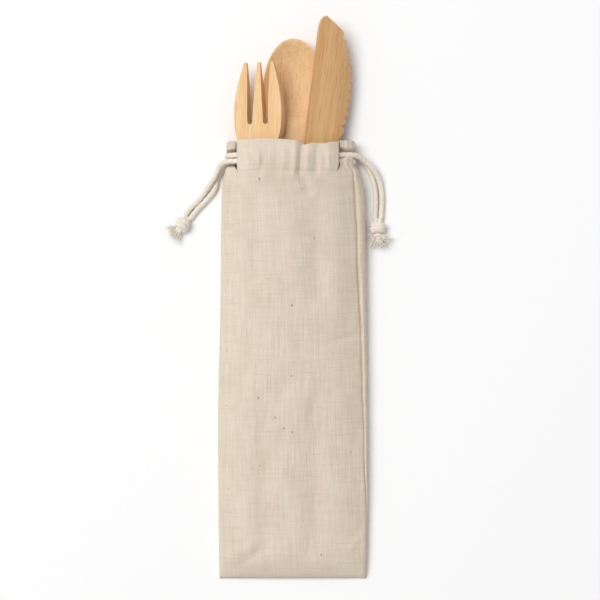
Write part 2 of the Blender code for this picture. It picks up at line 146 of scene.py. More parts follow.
def tube(line, radius, sides=12, relief=None, start=0.0):
    """A closed tube along a line; relief(s, angle) is added to its radius."""
    line = np.asarray(line, float)
    count = len(line)
    steps = np.linalg.norm(np.diff(line, axis=0), axis=1)
    s = start + np.concatenate([[0.0], np.cumsum(steps)])
    tangents = np.gradient(line, axis=0)
    tangents /= np.linalg.norm(tangents, axis=1)[:, None]
    normal = np.cross(tangents[0], (0.0, 0.0, 1.0))
    if np.linalg.norm(normal) < 1e-3:
        normal = np.cross(tangents[0], (1.0, 0.0, 0.0))
    radius = np.broadcast_to(np.asarray(radius, float), (count,))
    angles = np.arange(sides) * math.tau / sides
    points, marks = [], []
    for k in range(count):
        normal = normal - tangents[k] * np.dot(normal, tangents[k])
        normal /= np.linalg.norm(normal)
        other = np.cross(tangents[k], normal)
        reach = radius[k] + (relief(s[k], angles) if relief else np.zeros(sides))
        ring = np.outer(np.cos(angles) * reach, normal) + np.outer(np.sin(angles) * reach, other)
        points.append(line[k] + ring)
        marks.append(np.stack([np.full(sides, s[k]), angles, np.zeros(sides)], axis=1))
    faces = []
    for k in range(count - 1):
        for a in range(sides):
            b = (a + 1) % sides
            faces.append(
                (k * sides + a, k * sides + b, (k + 1) * sides + b, (k + 1) * sides + a)
            )
    faces.append(tuple(reversed(range(sides))))
    faces.append(tuple((count - 1) * sides + a for a in range(sides)))
    return np.concatenate(points), faces, np.concatenate(marks)


# ---- node tools for the materials ---------------------------------------------------------
class Nodes:
    """A material's node tree, with short ways to add what the finishes need."""

    def __init__(self, name):
        self.material = bpy.data.materials.new(name)
        self.material.use_nodes = True
        self.tree = self.material.node_tree
        self.shader = self.tree.nodes["Principled BSDF"]

    def add(self, kind, settings=None, **inputs):
        node = self.tree.nodes.new("ShaderNode" + kind)
        for key, value in (settings or {}).items():
            setattr(node, key, value)
        for key, value in inputs.items():
            self.feed(node.inputs[key.replace("_", " ")], value)
        return node

    def feed(self, socket, value):
        if isinstance(value, bpy.types.NodeSocket):
            self.tree.links.new(value, socket)
        else:
            socket.default_value = value

    def math(self, operation, first, second=0.0, third=None):
        node = self.tree.nodes.new("ShaderNodeMath")
        node.operation = operation
        self.feed(node.inputs[0], first)
        self.feed(node.inputs[1], second)
        if third is not None:
            self.feed(node.inputs[2], third)
        return node.outputs[0]

    def ramp(self, value, low, high, new_low=0.0, new_high=1.0):
        node = self.add("MapRange", {"interpolation_type": "SMOOTHSTEP"}, Value=value)
        node.inputs["From Min"].default_value = low
        node.inputs["From Max"].default_value = high
        node.inputs["To Min"].default_value = new_low
        node.inputs["To Max"].default_value = new_high
        return node.outputs[0]

    def mix(self, share, first, second, blend="MIX"):
        node = self.tree.nodes.new("ShaderNodeMix")
        node.data_type = "RGBA"
        node.blend_type = blend
        self.feed(node.inputs[0], share)
        self.feed(node.inputs[6], first)
        self.feed(node.inputs[7], second)
        return node.outputs[2]

    def scaled(self, vector, scale):
        node = self.add("Mapping", Vector=vector)
        node.inputs["Scale"].default_value = scale
        return node.outputs[0]

    def noise(self, vector, scale=1.0, detail=2.0, roughness=0.5):
        node = self.add("TexNoise", Vector=vector, Scale=scale, Detail=detail)
        node.inputs["Roughness"].default_value = roughness
        return node.outputs["Fac"]

    def bump(self, height, distance, strength=1.0, normal=None):
        node = self.add("Bump", Height=height, Distance=distance, Strength=strength)
        if normal is not None:
            self.feed(node.inputs["Normal"], normal)
        return node.outputs[0]


def linear(red, green, blue, alpha=1.0):
    """A colour given as 0-255 screen values."""
    def one(c):
        c /= 255.0
        return c / 12.92 if c <= 0.04045 else ((c + 0.055) / 1.055) ** 2.4
    return (one(red), one(green), one(blue), alpha)


def bamboo(name, tint, shift):
    """Planed bamboo: pale fibres with darker vessels that run along the piece's own Y.

    The pattern is solid, so a surface cut across the fibres, such as the spoon's bowl,
    shows the vessels' ends as dots.
    """
    n = Nodes(name)
    place = n.add("TexCoord").outputs["Object"]
    moved = n.add("Mapping", Vector=place)
    moved.inputs["Location"].default_value = shift
    place = moved.outputs[0]
    wander = n.noise(n.scaled(place, (60, 9, 60)), 1.0, 2.0)
    push = n.add("VectorMath", {"operation": "SCALE"}, Vector=n.add(
        "CombineXYZ", X=wander, Y=0.0, Z=wander).outputs[0])
    push.inputs["Scale"].default_value = 0.0016
    bent = n.add("VectorMath", {"operation": "ADD"})
    n.feed(bent.inputs[0], place)
    n.feed(bent.inputs[1], push.outputs[0])
    place = bent.outputs[0]
    vessels = n.add("TexVoronoi", {"feature": "F1"}, Vector=n.scaled(place, (1750, 62, 1750)))
    vessels.inputs["Scale"].default_value = 1.0
    vessels.inputs["Randomness"].default_value = 1.0
    dots = n.ramp(vessels.outputs["Distance"], 0.12, 0.46, 1.0, 0.0)
    which = n.add("SeparateColor", Color=vessels.outputs["Color"]).outputs[0]
    dots = n.math("MULTIPLY", dots, n.ramp(which, 0.25, 0.8))
    fibres = n.noise(n.scaled(place, (3800, 26, 3800)), 1.0, 3.0, 0.6)
    streaks = n.noise(n.scaled(place, (420, 5.0, 420)), 1.0, 3.0, 0.55)
    broad = n.noise(n.scaled(place, (95, 4.0, 95)), 1.0, 2.0)
    base = n.mix(n.ramp(streaks, 0.30, 0.72), tint["light"], tint["mid"])
    base = n.mix(n.ramp(broad, 0.35, 0.70, 0.0, 0.55), base, tint["warm"])
    base = n.mix(n.ramp(fibres, 0.38, 0.70, 0.0, 0.42), base, tint["dark"])
    base = n.mix(n.math("MULTIPLY", dots, 0.52), base, tint["vessel"])
    n.feed(n.shader.inputs["Base Color"], base)
    rough = n.math("ADD", n.math("MULTIPLY", fibres, 0.16), 0.42)
    n.feed(n.shader.inputs["Roughness"], rough)
    height = n.math("SUBTRACT", fibres, n.math("MULTIPLY", dots, 0.8))
    n.feed(n.shader.inputs["Normal"], n.bump(height, 0.00006, 0.8))
    n.shader.inputs["Specular IOR Level"].default_value = 0.32
    return n.material


def cotton_cloth():
    """Unbleached plain weave: slubby threads both ways, with brown flecks of seed husk."""
    n = Nodes("cotton_cloth")
    mark = n.add("Attribute", {"attribute_name": "mark"}).outputs["Vector"]
    parts = n.add("SeparateXYZ", Vector=mark)
    across, along = parts.outputs[0], parts.outputs[1]
    drift_x = n.noise(n.scaled(mark, (55, 9, 1)), 1.0, 2.0)
    drift_y = n.noise(n.scaled(mark, (9, 55, 1)), 1.0, 2.0)
    across = n.math("ADD", across, n.math("MULTIPLY", drift_x, 0.0022))
    along = n.math("ADD", along, n.math("MULTIPLY", drift_y, 0.0022))
    pitch = 0.00058
    warp_phase = n.math("MULTIPLY", across, math.tau / pitch)
    weft_phase = n.math("MULTIPLY", along, math.tau / pitch)
    warp = n.math("SINE", warp_phase)
    weft = n.math("SINE", weft_phase)
    over = n.math("MULTIPLY", n.math("SINE", n.math("MULTIPLY", warp_phase, 0.5)),
                  n.math("SINE", n.math("MULTIPLY", weft_phase, 0.5)))
    weave = n.math("ADD", n.math("ADD", warp, n.math("MULTIPLY", weft, 0.8)),
                   n.math("MULTIPLY", over, 0.9))
    # Each thread is a little thicker, thinner, paler or darker along its length.
    warp_slub = n.noise(n.scaled(mark, (1500, 45, 1)), 1.0, 3.0, 0.6)
    weft_slub = n.noise(n.scaled(mark, (45, 1500, 1)), 1.0, 3.0, 0.6)
    fluff = n.noise(n.scaled(mark, (2600, 2600, 2600)), 1.0, 3.0, 0.6)
    patches = n.noise(n.scaled(mark, (70, 48, 1)), 1.0, 3.0, 0.55)
    pale = linear(234, 223, 207)
    mid = linear(223, 208, 188)
    deep = linear(204, 184, 158)
    colour = n.mix(n.ramp(warp_slub, 0.30, 0.72, 0.05, 0.90), pale, mid)
    colour = n.mix(n.ramp(weft_slub, 0.48, 0.78, 0.0, 0.42), colour, deep)
    colour = n.mix(n.ramp(warp_slub, 0.60, 0.80, 0.0, 0.34), colour, deep)
    colour = n.mix(n.ramp(patches, 0.40, 0.72, 0.0, 0.20), colour, deep)
    colour = n.mix(n.ramp(weave, -1.6, 0.2, 0.30, 0.0), colour, linear(178, 154, 124))
    flecks = n.add("TexVoronoi", {"feature": "F1"}, Vector=n.scaled(mark, (230, 190, 1)))
    flecks.inputs["Scale"].default_value = 1.0
    chosen = n.add("SeparateColor", Color=flecks.outputs["Color"]).outputs[0]
    size = n.ramp(chosen, 0.80, 1.0, 0.0, 0.125)
    specks = n.math("LESS_THAN", flecks.outputs["Distance"], size)
    colour = n.mix(n.math("MULTIPLY", specks, 0.62), colour, linear(142, 98, 56))
    n.feed(n.shader.inputs["Base Color"], colour)
    n.shader.inputs["Roughness"].default_value = 0.93
    n.shader.inputs["Specular IOR Level"].default_value = 0.12
    n.shader.inputs["Sheen Weight"].default_value = 0.12
    n.shader.inputs["Sheen Roughness"].default_value = 0.5
    slubs = n.math("ADD", n.math("MULTIPLY", warp_slub, 1.0), n.math("MULTIPLY", weft_slub, 0.8))
    first = n.bump(slubs, 0.00022, 0.9)
    second = n.bump(weave, 0.00004, 0.8, first)
    n.feed(n.shader.inputs["Normal"], n.bump(fluff, 0.00008, 0.5, second))
    return n.material


def cotton_cord(name="cotton_cord"):
    """Soft cord: cream yarns whose fibres run along it."""
    n = Nodes(name)
    mark = n.add("Attribute", {"attribute_name": "mark"}).outputs["Vector"]
    place = n.add("TexCoord").outputs["Object"]
    yarn = n.noise(n.scaled(mark, (500, 3.0, 1)), 1.0, 3.0, 0.6)
    fluff = n.noise(place, 3200.0, 3.0, 0.65)
    broad = n.noise(place, 160.0, 2.0)
    colour = n.mix(n.ramp(yarn, 0.35, 0.70), linear(240, 233, 221), linear(228, 218, 202))
    colour = n.mix(n.ramp(broad, 0.40, 0.75, 0.0, 0.4), colour, linear(222, 208, 188))
    colour = n.mix(n.ramp(fluff, 0.50, 0.80, 0.0, 0.35), colour, linear(206, 190, 168))
    n.feed(n.shader.inputs["Base Color"], colour)
    n.shader.inputs["Roughness"].default_value = 0.92
    n.shader.inputs["Specular IOR Level"].default_value = 0.12
    n.shader.inputs["Sheen Weight"].default_value = 0.2
    n.feed(n.shader.inputs["Normal"], n.bump(n.math("ADD", fluff, yarn), 0.00010, 0.7))
    return n.material


cloth_finish = cotton_cloth()
cord_finish = cotton_cord()

# ---- the pouch's outline, from the CAD ----------------------------------------------------
LEFT_EDGE = [(END_Y, -0.0390), (-0.0300, -0.0396), (0.0250, -0.0384), (0.0780, -0.0378)]
LEFT_EDGE += [(0.0900, -0.0372), (HEM_Y, -0.0360), (MOUTH_Y, -0.0353)]
RIGHT_EDGE = [(END_Y, 0.0382), (-0.0700, 0.0390), (0.0000, 0.0386), (0.0780, 0.0376)]
RIGHT_EDGE += [(0.0900, 0.0366), (HEM_Y, 0.0342), (MOUTH_Y, 0.0326)]
SIDE_RADIUS = [(END_Y, 0.0026), (-0.1000, 0.0030), (0.0500, 0.0036), (HEM_Y, 0.0050)]
SIDE_HEIGHT = [(END_Y, 0.0052), (-0.1000, 0.0064), (0.0400, 0.0084), (0.0850, 0.0112)]
SIDE_HEIGHT += [(HEM_Y, 0.0145), (MOUTH_Y, 0.0150)]
CROWN = [(END_Y, 0.0066), (-0.1000, 0.0098), (-0.0500, 0.0130), (-0.0250, 0.0150)]
CROWN += [(0.0400, 0.0170), (0.0850, 0.0204), (0.1000, 0.0233), (MOUTH_Y, 0.0240)]
CROWN_POWER = 2.6
RIDGE = [(END_Y, -0.0010), (0.0000, -0.0060), (HEM_Y, -0.0080)]


def pouch_top(x, y):
    """The front panel's outer face, before its wrinkles."""
    x, y = np.broadcast_arrays(np.asarray(x, float), np.asarray(y, float))
    radius, side, ridge = through(SIDE_RADIUS, y), through(SIDE_HEIGHT, y), through(RIDGE, y)
    left, right = through(LEFT_EDGE, y) + radius, through(RIGHT_EDGE, y) - radius
    edge = np.where(x < ridge, left, right)
    share = np.minimum(np.abs((x - ridge) / (edge - ridge)), 1.0)
    return side + (through(CROWN, y) - side) * (1.0 - share**CROWN_POWER)


# ---- the drawstrings ----------------------------------------------------------------------
FLOOR_Z = CORD_RADIUS + 0.00005
STRAND_LEFT = FRONT_HEM_LEFT + 0.0022
STRAND_RIGHT = FRONT_HEM_RIGHT - 0.0022


def in_front(x, y):
    return (x, y, float(pouch_top(x, y)) - CORD_IN_FRONT)


def in_back(x, y):
    return (x, y, CORD_IN_BACK)


BRAID_LENGTH = 0.0034  # one braided yarn's run round the cord, in each of its lobes
BRAID_DEPTH = 0.00009


def braid(s, angle):
    turn = math.tau * s / BRAID_LENGTH
    one = np.cos(3 * angle + turn)
    other = np.cos(3 * angle - turn)
    return BRAID_DEPTH * (np.maximum(one, other) - 0.6)


inner = [0.0180 - 0.0060 * k for k in range(8)]
right_run = [in_front(x, RIGHT_CORD_Y) for x in (STRAND_RIGHT - GAP, *inner, FRONT_HEM_LEFT)]
right_run += [
    (-0.0326, RIGHT_CORD_Y, 0.0108),
    (-0.0345, RIGHT_CORD_Y, 0.0076),
    (-0.0342, RIGHT_CORD_Y, 0.0046),
    (-0.0328, RIGHT_CORD_Y, 0.0028),
]
right_run += [in_back(-0.0298 + 0.0098 * k, RIGHT_CORD_Y) for k in range(7)]
left_run = [
    in_front(x, LEFT_CORD_Y) for x in (STRAND_LEFT + GAP, *reversed(inner), FRONT_HEM_RIGHT)
]
left_run += [
    (0.0280, LEFT_CORD_Y, 0.0128),
    (0.0310, LEFT_CORD_Y, 0.0090),
    (0.0314, LEFT_CORD_Y, 0.0054),
    (0.0302, LEFT_CORD_Y, 0.0030),
]
left_run += [in_back(0.0273 - 0.0090 * k, LEFT_CORD_Y) for k in range(7)]

STRANDS = {
    "right_front_strand": [
        in_front(STRAND_RIGHT, RIGHT_CORD_Y),
        in_front(FRONT_HEM_RIGHT, RIGHT_CORD_Y),
        (0.0270, 0.1059, 0.0131),
        (0.0300, 0.1060, 0.0117),
        (0.0333, 0.1056, 0.0094),
        (0.0366, 0.1038, 0.0066),
        (0.0402, 0.1009, 0.0048),
        (0.0432, 0.0971, 0.0036),
        (0.0453, 0.0926, 0.0022),
        (0.0462, 0.0886, FLOOR_Z),
        (0.0465, 0.0850, FLOOR_Z),
        (0.0465, 0.0804, FLOOR_Z),
        (0.0462, 0.0767, FLOOR_Z),
        (0.0460, 0.0731, FLOOR_Z),
    ],
    "right_back_strand": [
        in_back(0.0294, RIGHT_CORD_Y),
        in_back(0.0316, RIGHT_CORD_Y),
        (0.0340, 0.1048, 0.0022),
        (0.0363, 0.1032, 0.0017),
        (0.0385, 0.1009, FLOOR_Z),
        (0.0405, 0.0968, FLOOR_Z),
        (0.0421, 0.0920, FLOOR_Z),
        (0.0430, 0.0871, FLOOR_Z),
        (0.0433, 0.0828, FLOOR_Z),
        (0.0432, 0.0786, FLOOR_Z),
        (0.0429, 0.0733, FLOOR_Z),
    ],
    "left_front_strand": [
        in_front(STRAND_LEFT, LEFT_CORD_Y),
        in_front(FRONT_HEM_LEFT, LEFT_CORD_Y),
        (-0.0322, 0.1028, 0.0118),
        (-0.0356, 0.1025, 0.0098),
        (-0.0383, 0.1009, 0.0072),
        (-0.0399, 0.0980, 0.0056),
        (-0.0419, 0.0941, 0.0045),
        (-0.0449, 0.0899, 0.0024),
        (-0.0478, 0.0857, FLOOR_Z),
        (-0.0510, 0.0818, FLOOR_Z),
        (-0.0543, 0.0788, FLOOR_Z),
        (-0.0571, 0.0750, FLOOR_Z),
    ],
    "left_back_strand": [
        in_back(-0.0270, LEFT_CORD_Y),
        in_back(-0.0300, LEFT_CORD_Y),
        (-0.0334, 0.1024, 0.0024),
        (-0.0358, 0.1008, 0.0025),
        (-0.0380, 0.0980, FLOOR_Z),
        (-0.0401, 0.0945, FLOOR_Z),
        (-0.0408, 0.0910, FLOOR_Z),
        (-0.0418, 0.0881, FLOOR_Z),
        (-0.0441, 0.0850, FLOOR_Z),
        (-0.0474, 0.0814, FLOOR_Z),
        (-0.0507, 0.0780, FLOOR_Z),
        (-0.0545, 0.0732, FLOOR_Z),
    ],
}

for name, run in (("right_drawstring", right_run), ("left_drawstring", left_run)):
    points, faces, marks = tube(spaced(run, 0.0003), CORD_RADIUS, 24, braid)
    piece = make_piece(name + "_cord", points, faces, cord_finish, marks)
    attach(piece, "root")
    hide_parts(name)

for name, route in STRANDS.items():
    line = spaced(route, 0.00025)
    points, faces, marks = tube(line, CORD_RADIUS, 24, braid)
    piece = make_piece(name + "_cord", points, faces, cord_finish, marks)
    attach(piece, "root")
    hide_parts(name)


# ---- the knots and their frayed ends ------------------------------------------------------
def frayed(rng, start, heading, count, length, fan, radius, lift):
    """Yarns that spread from a cord's cut end, each bending its own way."""
    parts = []
    side = Vector((-heading.y, heading.x, 0.0))
    for k in range(count):
        lean = fan * (2.0 * (k + rng.random()) / count - 1.0)
        rise = rng.uniform(-0.25, 0.55)
        way = (heading + side * lean + Vector((0, 0, rise))).normalized()
        curl = side * rng.uniform(-0.9, 0.9) + Vector((0, 0, rng.uniform(-0.7, 0.4)))
        reach = length * rng.uniform(0.60, 1.0)
        origin = start + side * (lean * 0.0011) + Vector((0, 0, rng.uniform(-0.6, 0.6) * lift))
        line = []
        for step in range(9):
            t = step / 8
            point = origin + way * (reach * t) + curl * (reach * 0.35 * t * t)
            point += side * (0.00022 * math.sin(9.0 * t + k))
            point.z = max(point.z, radius + 0.00005)
            line.append(tuple(point))
        taper = [radius * (1.0 - 0.45 * (step / 8) ** 2) for step in range(9)]
        parts.append(tube(line, taper, 6))
    return parts


def wrapped(centre, heading, turns, pitch, width, height, phase, radius=CORD_RADIUS):
    """A cord wound round the knot, as a line of points."""
    side = Vector((-heading.y, heading.x, 0.0))
    line = []
    steps = max(12, int(28 * turns))
    for k in range(steps + 1):
        share = k / steps
        angle = phase + math.tau * turns * share
        point = centre + heading * (pitch * turns * (share - 0.5))
        point = point + side * (width * math.cos(angle)) + Vector((0, 0, height * math.sin(angle)))
        line.append(tuple(point))
    return line


def make_knot(name, start, heading, wraps, tails, seed):
    rng = random.Random(seed)
    heading = Vector((*heading, 0.0)).normalized()
    side = Vector((-heading.y, heading.x, 0.0))
    middle = Vector((*start, 0.0030))
    parts = []
    # The cords that run through the knot.
    for offset in (-0.0011, 0.0011):
        line = [
            tuple(middle + heading * (0.0095 * t - 0.0012) + side * offset * (1 - 0.5 * t)
                  + Vector((0, 0, -0.0016 * (1 - t) ** 2)))
            for t in (k / 24 for k in range(25))
        ]
        parts.append(tube(line, CORD_RADIUS, 18, braid))
    for at, turns, pitch, width, height, phase in wraps:
        line = wrapped(middle + heading * at, heading, turns, pitch, width, height, phase)
        parts.append(tube(line, CORD_RADIUS * 0.98, 18, braid))
    for at, across, lean, count, length, fan, radius in tails:
        way = (heading + side * lean).normalized()
        base = middle + heading * at + side * across
        parts += frayed(rng, base, way, count, length, fan, radius, 0.0011)
    points, faces, marks = joined(parts)
    points[:, 2] = np.maximum(points[:, 2], 0.00005)
    piece = make_piece(name + "_cord", points, faces, cord_finish, marks)
    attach(piece, "root")
    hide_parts(name)
    return piece


# Each wrap: (distance along, turns, pitch, half width, half height, phase).
right_wraps = [
    (0.0026, 1.0, 0.0006, 0.0029, 0.0019, 0.3),
    (0.0052, 1.0, -0.0008, 0.0027, 0.0019, 2.0),
    (0.0040, 0.5, 0.0030, 0.0031, 0.0021, 0.0),
]
left_wraps = [
    (0.0024, 1.0, 0.0014, 0.0024, 0.0018, 0.4),
    (0.0050, 1.0, 0.0014, 0.0024, 0.0018, 0.4),
    (0.0036, 0.5, -0.0034, 0.0028, 0.0022, 0.0),
]
# Each tail: (distance along, across, lean, yarns, length, fan, radius).
right_tails = [
    (0.0074, 0.0010, 0.75, 20, 0.0078, 0.75, 0.00030),
    (0.0074, 0.0000, 0.15, 16, 0.0072, 0.65, 0.00026),
    (0.0070, -0.0016, -0.50, 8, 0.0050, 0.60, 0.00024),
    (0.0076, 0.0006, 0.40, 26, 0.0086, 1.10, 0.00008),
]
left_tails = [
    (0.0066, 0.0008, -0.25, 18, 0.0066, 0.60, 0.00028),
    (0.0066, -0.0008, -0.75, 16, 0.0062, 0.60, 0.00026),
    (0.0060, -0.0012, -1.20, 6, 0.0072, 0.40, 0.00018),
    (0.0070, 0.0000, -0.40, 24, 0.0082, 1.10, 0.00008),
]
right_knot = make_knot("right_knot", (0.0444, 0.0722), (-0.05, -1.0), right_wraps, right_tails, 5)
left_knot = make_knot("left_knot", (-0.0563, 0.0733), (-0.55, -0.83), left_wraps, left_tails, 8)


# ---- plates for the cutlery ---------------------------------------------------------------
def plate(grid, filled, top, bottom):
    """A closed plate over the filled cells of a grid of (u, v) points."""
    bm = bmesh.new()
    corners = {}

    def corner(side, height, i, j):
        if (side, i, j) not in corners:
            u, v = grid[i][j]
            corners[side, i, j] = bm.verts.new((u, v, height(u, v)))
        return corners[side, i, j]

    rows, columns = len(grid) - 1, len(grid[0]) - 1
    cells = {(i, j) for i in range(rows) for j in range(columns) if filled(i, j)}
    for i, j in sorted(cells):
        ring = [(i, j), (i, j + 1), (i + 1, j + 1), (i + 1, j)]
        bm.faces.new([corner("top", top, *c) for c in ring])
        bm.faces.new([corner("bottom", bottom, *c) for c in reversed(ring)])
        beside = [(i - 1, j), (i, j + 1), (i + 1, j), (i, j - 1)]
        for a, b, neighbour in zip(ring, ring[1:] + ring[:1], beside):
            if neighbour not in cells:
                low = [corner("bottom", bottom, *a), corner("bottom", bottom, *b)]
                high = [corner("top", top, *b), corner("top", top, *a)]
                bm.faces.new(low + high)
    return bm


def cutlery_piece(name, bm, finish, place, rounding):
    """A piece whose edges are sanded to a small round."""
    bmesh.ops.remove_doubles(bm, verts=bm.verts[:], dist=0.00001)
    bmesh.ops.recalc_face_normals(bm, faces=bm.faces[:])
    mesh = bpy.data.meshes.new(name)
    bm.to_mesh(mesh)
    bm.free()
    mesh.shade_smooth()
    mesh.materials.append(finish)
    made = bpy.data.objects.new(name, mesh)
    bpy.context.scene.collection.objects.link(made)
    bevel = made.modifiers.new("Edges", "BEVEL")
    bevel.width = rounding
    bevel.segments = 3
    bevel.limit_method = "ANGLE"
    bevel.angle_limit = math.radians(38)
    bevel.harden_normals = True
    made.matrix_world = place
    return made


def stands_for(piece, node):
    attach(piece, "root")
    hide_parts(node)


# ---- the spoon ----------------------------------------------------------------------------
SPOON_RIM_Z = 0.0101
SPOON_HANDLE = 0.0042
BOWL_DEPTH = 0.0059
SPOON_TIP_Y = 0.1668
SPOON_END_Y = SPOON_TIP_Y - PIECE_LENGTH
BOWL_Y = 0.1440
BOWL_HALF_LENGTH = 0.0215
BOWL_HALF_WIDTH = 0.0143
SPOON_OUTLINE = [
    (SPOON_END_Y, 0.0024),
    (SPOON_END_Y + 0.0012, 0.0043),
    (SPOON_END_Y + 0.0040, 0.0056),
    (-0.0200, 0.0059),
    (0.0600, 0.0051),
    (0.0980, 0.0056),
    (0.1100, 0.0072),
    (0.1220, 0.0118),
    (0.1320, 0.0150),
    (0.1400, 0.0157),
    (0.1480, 0.0151),
    (0.1560, 0.0127),
    (0.1620, 0.0091),
    (0.1645, 0.0064),
    (0.1658, 0.0043),
    (0.1665, 0.0024),
    (SPOON_TIP_Y, 0.0004),
]
SPOON_TOP = [
    (SPOON_END_Y, CLOTH + GAP + SPOON_HANDLE),
    (0.0400, 0.0072),
    (0.0945, HEM + GAP + SPOON_HANDLE + 0.0001),
    (0.1100, 0.0093),
    (0.1300, SPOON_RIM_Z - 0.0002),
    (0.1450, SPOON_RIM_Z),
    (SPOON_TIP_Y, SPOON_RIM_Z),
]
SPOON_EDGE = [(0.1120, SPOON_HANDLE), (0.1300, 0.0026), (SPOON_TIP_Y, 0.0021)]


def spoon_top(x, y):
    ring = (x / BOWL_HALF_WIDTH) ** 2 + ((y - BOWL_Y) / BOWL_HALF_LENGTH) ** 2
    inside = 1.0 - ring
    hollow = (inside + math.sqrt(inside**2 + 0.004)) / 2  # its brink is slightly rounded
    return float(through(SPOON_TOP, y)) - BOWL_DEPTH * hollow


def spoon_bottom(x, y):
    along = max(0.0, 1.0 - ((y - BOWL_Y) / 0.0240) ** 2)
    across = max(0.0, 1.0 - (x / float(through(SPOON_OUTLINE, y))) ** 2)
    top = float(through(SPOON_TOP, y)) - float(through(SPOON_EDGE, y))
    return top - 0.0060 * along * across


def even(start, end, spacing):
    count = max(1, round((end - start) / spacing))
    return [start + (end - start) * k / count for k in range(count)]


def make_spoon(finish):
    steps = [SPOON_END_Y, SPOON_END_Y + 0.0004] + even(SPOON_END_Y + 0.0012, -0.0230, 0.0009)
    steps += even(-0.0230, 0.0960, 0.0070) + even(0.0960, 0.1640, 0.0010)
    steps += even(0.1640, 0.1660, 0.0004) + [0.1660, 0.1663, 0.1665, 0.1667, SPOON_TIP_Y]
    shares = [math.sin(math.pi / 2 * k / 13) for k in range(-13, 14)]
    grid = [[(share * float(through(SPOON_OUTLINE, y)), y) for share in shares] for y in steps]
    bm = plate(grid, lambda i, j: True, spoon_top, spoon_bottom)
    return cutlery_piece("bamboo_spoon", bm, finish, Matrix.Identity(4), 0.0006)


# ---- the fork -----------------------------------------------------------------------------
FORK_THICKNESS = 0.0052
FORK_ROLL = math.radians(22)
FORK_HALF_WIDTH = [
    (0.0000, 0.0026),
    (0.0012, 0.0046),
    (0.0040, 0.0060),
    (0.0200, 0.0063),
    (0.1000, 0.0052),
    (0.1400, 0.0055),
    (0.1500, 0.0078),
    (0.1600, 0.0116),
    (0.1660, 0.0130),
    (0.1735, 0.0134),
    (0.1815, 0.0127),
    (0.1880, 0.0115),
    (0.1940, 0.0099),
    (PIECE_LENGTH, 0.0083),
]
SLOT_V = 0.1676
MIDDLE_TINE = [
    (0.0000, 0.0010),
    (0.1400, 0.0014),
    (SLOT_V, 0.0030),
    (0.1830, 0.00207),
    (0.1910, 0.0015),
    (PIECE_LENGTH, 0.0008),
]
OUTER_TINE = [
    (0.0000, 0.0018),
    (0.1400, 0.0032),
    (SLOT_V, 0.0058),
    (0.1830, 0.0060),
    (0.1910, 0.0062),
    (PIECE_LENGTH, 0.00665),
]
FORK_PROFILE = [(0.1640, FORK_THICKNESS), (0.1850, 0.0039), (PIECE_LENGTH, 0.0013)]


SLOT_RADIUS = 0.0014
SLOT_U = 0.0044
TIP_RADIUS = 0.0009


def fork_row(v):
    """The fork's edges across it at v: three tines above the slots' round bottoms."""
    half, outer, middle = (
        float(through(curve, v)) for curve in (FORK_HALF_WIDTH, OUTER_TINE, MIDDLE_TINE)
    )
    into = v - SLOT_V
    if 0.0 <= into < SLOT_RADIUS:
        opening = math.sqrt(SLOT_RADIUS**2 - (SLOT_RADIUS - into) ** 2)
        outer, middle = SLOT_U + opening, SLOT_U - opening
    tip = v - (PIECE_LENGTH - TIP_RADIUS)
    if tip > 0.0:
        keep = math.sqrt(max(0.0, 1.0 - (tip / TIP_RADIUS) ** 2)) * 0.92 + 0.08
        centre, reach = (half + outer) / 2, (half - outer) / 2 * keep
        half, outer, middle = centre + reach, centre - reach, middle * keep
    spans = ((-half, -outer), (-outer, -middle), (-middle, middle), (middle, outer), (outer, half))
    row = []
    for low, high in spans:
        row += [(low + (high - low) * k / 3, v) for k in range(3)]
    return row + [(half, v)]


def make_fork(finish):
    steps = [0.0, 0.0004] + even(0.0010, 0.0120, 0.0010) + even(0.0120, 0.1400, 0.0080)
    steps += even(0.1400, SLOT_V, 0.0010)
    steps += [SLOT_V + SLOT_RADIUS * (1 - math.cos(math.pi / 2 * k / 6)) for k in range(6)]
    steps += even(SLOT_V + SLOT_RADIUS, PIECE_LENGTH - TIP_RADIUS, 0.0010)
    steps += [PIECE_LENGTH - TIP_RADIUS * (1 - math.sin(math.pi / 2 * k / 6)) for k in range(7)]

    def filled(i, j):
        return steps[i] < SLOT_V - 1e-6 or j // 3 in (0, 2, 4)

    def half_thick(u, v):
        return float(through(FORK_PROFILE, v)) / 2

    bm = plate([fork_row(v) for v in steps], filled, half_thick, lambda u, v: -half_thick(u, v))
    place = (
        Matrix.Translation((-0.0168, -0.0456, 0.0054))
        @ Matrix.Rotation(math.radians(0.3), 4, "Z")
        @ Matrix.Rotation(math.radians(2.1), 4, "X")
        @ Matrix.Rotation(-FORK_ROLL, 4, "Y")
    )
    return cutlery_piece("bamboo_fork", bm, finish, place, 0.00040)


# ---- the knife ----------------------------------------------------------------------------
KNIFE_THICKNESS = 0.0038
KNIFE_ROLL = math.radians(15)
KNIFE_TILT = math.radians(6.9)
BLADE_TIP_V = 0.0643
KNIFE_END_V = BLADE_TIP_V - PIECE_LENGTH
BELLY_RADIUS = 0.064
BELLY_U = 0.0228
BELLY_V = 0.0240
TOOTH_PITCH = 0.0046
TOOTH_DEPTH = 0.0024
TEETH = 11
HOOKED_TEETH = 3
FIRST_TOOTH_V = 0.0533
SPINE = [
    (KNIFE_END_V, 0.0038),
    (KNIFE_END_V + 0.0012, 0.0018),
    (KNIFE_END_V + 0.0040, 0.0003),
    (-0.1150, 0.0000),
    (-0.0300, 0.0008),
    (-0.0100, 0.0003),
    (0.0000, 0.0000),
    (0.0560, 0.0000),
    (0.0605, 0.0003),
    (0.0630, 0.0012),
    (BLADE_TIP_V, 0.0026),
]
